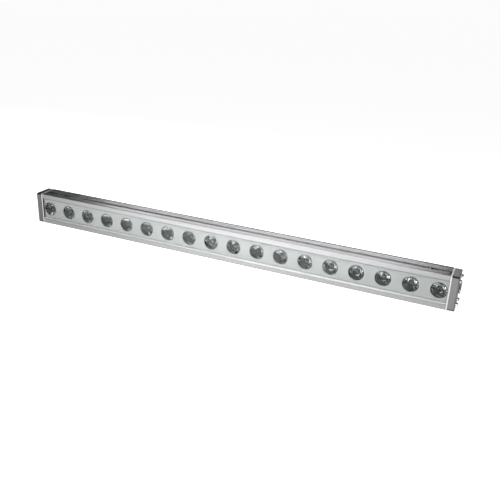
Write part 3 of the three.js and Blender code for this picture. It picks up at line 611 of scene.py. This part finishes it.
def lens_stations(depth, rim_radius):
    """Pillowed front, plain rim, cone of flat facets and a pointed cavity over the emitter."""
    rings = 24
    face = rim_radius - 0.9 * MM
    radii = [face * i / rings for i in range(1, rings + 1)]
    stations = [(0, SET_BACK - PILLOW_DEPTH)]
    stations += [(radius, pillowed(radius, face)) for radius in radii]
    side = 2.4 * MM
    cone_top, cone_bottom = rim_radius - 1.2 * MM, 6.4 * MM
    stations += [(rim_radius - 0.7 * MM, 0.05 * MM), (rim_radius - 0.2 * MM, 0)]
    stations += [(rim_radius, 0.2 * MM), (rim_radius, side), (cone_top, side)]
    for along, narrowed in CONE_BENDS:
        radius = cone_top + (cone_bottom - cone_top) * narrowed
        stations.append((faceted(radius, CONE_FACETS), side + (depth - side) * along))
    stations += [(3.6 * MM, depth), (3.4 * MM, depth - 4 * MM), (2.4 * MM, depth - 5.4 * MM)]
    stations += [(0, depth - 6 * MM)]
    return stations


def cup_stations(start, end, radius):
    """A thin bowl of bright facets round a lens, open at both ends; the loop closes on itself."""
    top, bottom, wall, bands = radius + 0.4 * MM, 8.1 * MM, 0.7 * MM, 7
    straight, bent = 0.55, 0.45
    stations = [(top, start)]
    for band in range(1, bands + 1):
        along = band / bands
        narrowed = straight * along + bent * along ** 3
        turn = math.pi / CUP_FACETS * (band % 2)
        facets = faceted(top + (bottom - top) * narrowed, CUP_FACETS, turn)
        stations.append((facets, start + (end - start) * along))
    return stations + [(bottom + wall, end), (top + wall, start), (top, start)]


def make_lenses():
    """Every lens and the mirrored cup behind it, each turned a little differently."""
    rng = random.Random(7)
    most_turn = 0.5
    cup_start, carrier_gap = 3.2 * MM, 0.1 * MM
    origin = Vector((0, 0, 0))
    low, high = LENS_BOXES[0]
    depth, radius = high.y - low.y, (high.z - low.z) / 2
    cup_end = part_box("lens_carrier_1")[0].y - low.y - carrier_gap
    vertices, faces = lathe(lens_stations(depth, radius), LENS_SIDES, origin, (0, 1, 0))
    lens = link_mesh("lens_body_01", vertices, faces, LENS, crease=4.5)
    vertices, faces = lathe(cup_stations(cup_start, cup_end, radius), CUP_SIDES, origin, (0, 1, 0))
    cup = link_mesh("lens_cup_01", vertices, faces, MIRRORED_CUP, crease=5)
    for index, (name, place) in enumerate(zip(LENS_NODES, LENS_PLACES), 1):
        for piece, slot in ((lens, "lens_acrylic"), (cup, "nickel_plate")):
            if index > 1:
                piece = bpy.data.objects.new(f"{piece.name[:-2]}{index:02d}", piece.data)
                bpy.context.scene.collection.objects.link(piece)
            piece.location = (place.x, low.y, place.z)
            piece.rotation_euler.y = rng.uniform(-most_turn, most_turn)
            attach(piece, BODY)
            if slot == "lens_acrylic":
                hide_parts(name)


# ---- Cap screws -------------------------------------------------------------------------------------

def screw_stations(length, radius):
    """Ridged shank that starts at its tip, and a knurled head with a hexagonal socket."""
    shank, head, edge = 1.95 * MM, 4 * MM, 0.15 * MM
    pitch, thread_depth, thread_start = 0.7 * MM, 0.35 * MM, 0.6 * MM
    socket_depth, socket_point = 2 * MM, 2.4 * MM
    seat = length - head
    stations = [(0, 0), (shank - 0.5 * MM, 0), (shank, 0.5 * MM)]
    turns = int((seat - 2 * MM) / pitch)
    for i in range(turns):
        start = thread_start + pitch * i
        stations += [(shank, start), (shank - thread_depth, start + thread_depth)]
    stations += [(shank, seat - 1.2 * MM), (shank, seat), (radius - edge, seat)]
    stations += [(radius, seat + edge)]
    ridge = knurled(radius, 24, 0.12 * MM)
    stations += [(ridge, seat + 0.5 * MM), (ridge, length - 0.7 * MM)]
    stations += [(radius, length - 3 * edge), (radius - edge, length - edge)]
    stations += [(radius - 3 * edge, length), (hexagon(3.3 * MM), length)]
    socket = hexagon(3 * MM)
    stations += [(socket, length - 0.2 * MM), (socket, length - socket_depth)]
    stations += [(0, length - socket_point)]
    return stations


def make_screws():
    """The socket-head screws of both end caps, each in the box of its CAD node."""
    for name in sorted(n for n in frame["nodes"] if n.startswith("cap_screw_")):
        low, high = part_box(name)
        outwards = 1 if low.x > 0 else -1
        tip = low.x if outwards > 0 else high.x
        centre = Vector((tip, (low.y + high.y) / 2, (low.z + high.z) / 2))
        stations = screw_stations(high.x - low.x, (high.z - low.z) / 2)
        vertices, faces = lathe(stations, 72, centre, (outwards, 0, 0))
        screw = link_mesh(name.replace("cap_screw", "socket_screw"), vertices, faces, STAINLESS)
        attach(screw, BODY)
        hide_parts(name)


# ---- Slot stops -------------------------------------------------------------------------------------

def stop_outline(mouth, channel):
    """Section of a stop across its slot, as points of depth and height above the middle."""
    near, far = (corner[1] for corner in channel)
    neck_near, neck_far = (corner[1] for corner in mouth)
    low, high = sorted(abs(corner[2] - MIDDLE) for corner in channel)
    top = HOUSING_HIGH.z - MIDDLE - 0.3 * MM
    outline = [(near, low), (far, low), (far, high)]
    outline += [(neck_far, high), (neck_far, top), (neck_near, top)]
    outline += [(neck_near, high), (near, high)]
    return outline


def make_slot_stops():
    """A black stop in each end of each T-slot, just past where the sliding nuts halt."""
    for side, x_sign in (("left", -1), ("right", 1)):
        for level, z_sign in (("lower", -1), ("upper", 1)):
            mouth = OPENINGS[f"{level}_slot_mouth_{side}_end"]
            channel = OPENINGS[f"{level}_slot_channel_{side}_end"]
            outline = stop_outline(mouth, channel)
            start = max(abs(corner[0]) for corner in mouth) + 0.4 * MM
            end = HOUSING_HIGH.x - 0.15 * MM
            vertices = [(x_sign * x, y, MIDDLE + z_sign * z) for x in (start, end) for y, z in outline]
            count = len(outline)
            faces = [tuple(range(count)), tuple(range(2 * count - 1, count - 1, -1))]
            faces += [(i, (i + 1) % count, count + (i + 1) % count, count + i) for i in range(count)]
            stop = link_mesh(f"slot_stop_{level}_{side}", vertices, faces, BLACK_PLASTIC)
            ease(stop, 0.3 * MM)
            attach(stop, BODY)


# ---- Inlets -----------------------------------------------------------------------------------------

INLET_PINS = {"power_inlet": 3, "data_inlet": 5}
INLET_BORE = 4.6 * MM
INLET_BORE_DEPTH = 8 * MM
INSERT_HEIGHT = 2.2 * MM


def make_inlet_shell(name, centre, length, flange, floor):
    """Barrel through the cap, flange against it, knurled collar and a blind bore."""
    barrel, collar = 6 * MM, 7.6 * MM
    neck = collar - 0.5 * MM
    edge, fine_edge = 0.4 * MM, 0.2 * MM
    seat = centre.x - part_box("end_cap_left")[0].x + 0.2 * MM
    flange_top = seat + 2 * MM
    ridge = knurled(collar, 30, 0.35 * MM)
    stations = [(0, 0), (barrel - edge, 0), (barrel, edge), (barrel, seat)]
    stations += [(flange - fine_edge, seat), (flange, seat + fine_edge), (flange, flange_top - edge)]
    stations += [(flange - edge, flange_top), (neck, flange_top)]
    stations += [(neck, flange_top + 0.5 * MM), (ridge, flange_top + 0.8 * MM)]
    stations += [(ridge, length - 0.8 * MM), (collar - 0.3 * MM, length - 0.3 * MM)]
    stations += [(collar - 0.6 * MM, length), (INLET_BORE + edge, length), (INLET_BORE, length - edge)]
    stations += [(INLET_BORE, floor), (0, floor)]
    vertices, faces = lathe(stations, 120, centre, (-1, 0, 0))
    shell = link_mesh(f"{name}_shell", vertices, faces, NICKEL)
    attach(shell, BODY)
    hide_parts(name)


def make_inlet_insert(name, centre, floor, insert_top):
    """Black disc at the bottom of the bore, with a low rim."""
    radius = INLET_BORE - 0.1 * MM
    stations = [(0, floor + 0.1 * MM), (radius, floor + 0.1 * MM), (radius, insert_top)]
    stations += [(radius - 0.8 * MM, insert_top), (radius - MM, insert_top - 0.3 * MM)]
    stations += [(0, insert_top - 0.3 * MM)]
    vertices, faces = lathe(stations, 48, centre, (-1, 0, 0))
    insert = link_mesh(f"{name}_insert", vertices, faces, BLACK_PLASTIC)
    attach(insert, BODY)


def make_inlet_pins(name, centre, floor, insert_top):
    """A ring of round-ended pins that stand out of the insert."""
    pin_count, circle, radius = INLET_PINS[name], 2.4 * MM, 0.6 * MM
    foot, top = floor + 0.3 * MM, insert_top + 1.6 * MM
    stations = [(0, foot), (radius, foot), (radius, top - 0.4 * MM)]
    stations += [(0.35 * MM, top - 0.1 * MM), (0, top)]
    for i in range(pin_count):
        angle = 2 * math.pi * i / pin_count + math.pi / 2
        spot = centre + Vector((0, math.cos(angle), math.sin(angle))) * circle
        vertices, faces = lathe(stations, 20, spot, (-1, 0, 0))
        pin = link_mesh(f"{name}_pin_{i + 1}", vertices, faces, BRASS)
        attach(pin, BODY)


def make_inlets():
    """Both inlets of the left end cap, each in the box of its CAD node."""
    for name in INLET_PINS:
        low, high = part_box(name)
        centre = Vector((high.x, (low.y + high.y) / 2, (low.z + high.z) / 2))
        length, flange = high.x - low.x, (high.z - low.z) / 2
        floor = length - INLET_BORE_DEPTH
        insert_top = floor + INSERT_HEIGHT
        make_inlet_shell(name, centre, length, flange, floor)
        make_inlet_insert(name, centre, floor, insert_top)
        make_inlet_pins(name, centre, floor, insert_top)


# ---- Studio -----------------------------------------------------------------------------------------

def make_floor():
    """A wide pale floor that glows, most of all in an oval patch in front of the batten."""
    half, below = 40, 0.5 * MM
    patch_x, patch_y, half_width, half_depth = -0.08, -0.21, 0.6, 0.19
    patch_glow, outer_glow = 2.8, 0.85
    corners = [(-half, -half, 0), (half, -half, 0), (half, half, 0), (-half, half, 0)]
    material, tree, shader = new_surface("studio_floor", (0.7, 0.7, 0.7), 0.8)
    shader.inputs["Emission Color"].default_value = (1, 1, 1, 1)
    x, y, _ = axes(tree)
    across = calculate(tree, "DIVIDE", calculate(tree, "SUBTRACT", x, patch_x), half_width)
    ahead = calculate(tree, "DIVIDE", calculate(tree, "SUBTRACT", y, patch_y), half_depth)
    glow = spread(tree, sum_of_squares(tree, across, ahead), patch_glow, outer_glow, 0, 1)
    tree.links.new(glow, shader.inputs["Emission Strength"])
    floor = link_mesh("floor", corners, [(0, 1, 2, 3)], material)
    floor.location.z = -below


def make_world(horizon, overhead):
    """A pale horizon that fades to a dim ceiling."""
    world = bpy.data.worlds.new("studio")
    bpy.context.scene.world = world
    world.use_nodes = True
    tree = world.node_tree
    _, _, z = axes(tree, "Generated")
    strength = spread(tree, z, horizon, overhead, 0, 0.4)
    tree.links.new(strength, tree.nodes["Background"].inputs["Strength"])
    tree.nodes["Background"].inputs["Color"].default_value = (1, 1, 1, 1)


def make_softbox(name, place, aim, size, power):
    """A rectangular lamp at place, turned towards aim."""
    data = bpy.data.lights.new(name, "AREA")
    data.shape = "RECTANGLE"
    data.size, data.size_y = size
    data.energy = power
    lamp = bpy.data.objects.new(name, data)
    lamp.location = place
    lamp.rotation_mode = "QUATERNION"
    lamp.rotation_quaternion = (Vector(aim) - Vector(place)).to_track_quat("-Z", "Y")
    bpy.context.scene.collection.objects.link(lamp)
    return lamp


def make_studio():
    """Floor, world and four lamps; the low strip in front is hidden from the camera."""
    make_floor()
    make_world(horizon=0.45, overhead=0.14)
    make_softbox("top_softbox", place=(0.08, -0.15, 0.48), aim=(0.08, -0.15, 0), size=(0.5, 0.3),
                 power=5.5)
    make_softbox("rear_softbox", place=(-0.31, 0.95, 0.5), aim=(-0.21, 0.0, 0.07), size=(1.32, 0.4),
                 power=9.1)
    strip = make_softbox("front_strip", place=(-0.1, -1.2, 0.07), aim=(-0.1, 0.0, 0.04),
                         size=(1.8, 0.05), power=10)
    strip.visible_camera = False
    make_softbox("side_softbox", place=(1.3, -1.3, 0.7), aim=(0.2, 0.0, 0.03), size=(0.8, 0.8),
                 power=9)
    settings = bpy.context.scene.view_settings
    settings.view_transform = "Standard"
    settings.look = "None"


make_camera()
finish_cad_nodes()
make_panel()
make_lenses()
make_screws()
make_slot_stops()
make_inlets()
make_studio()
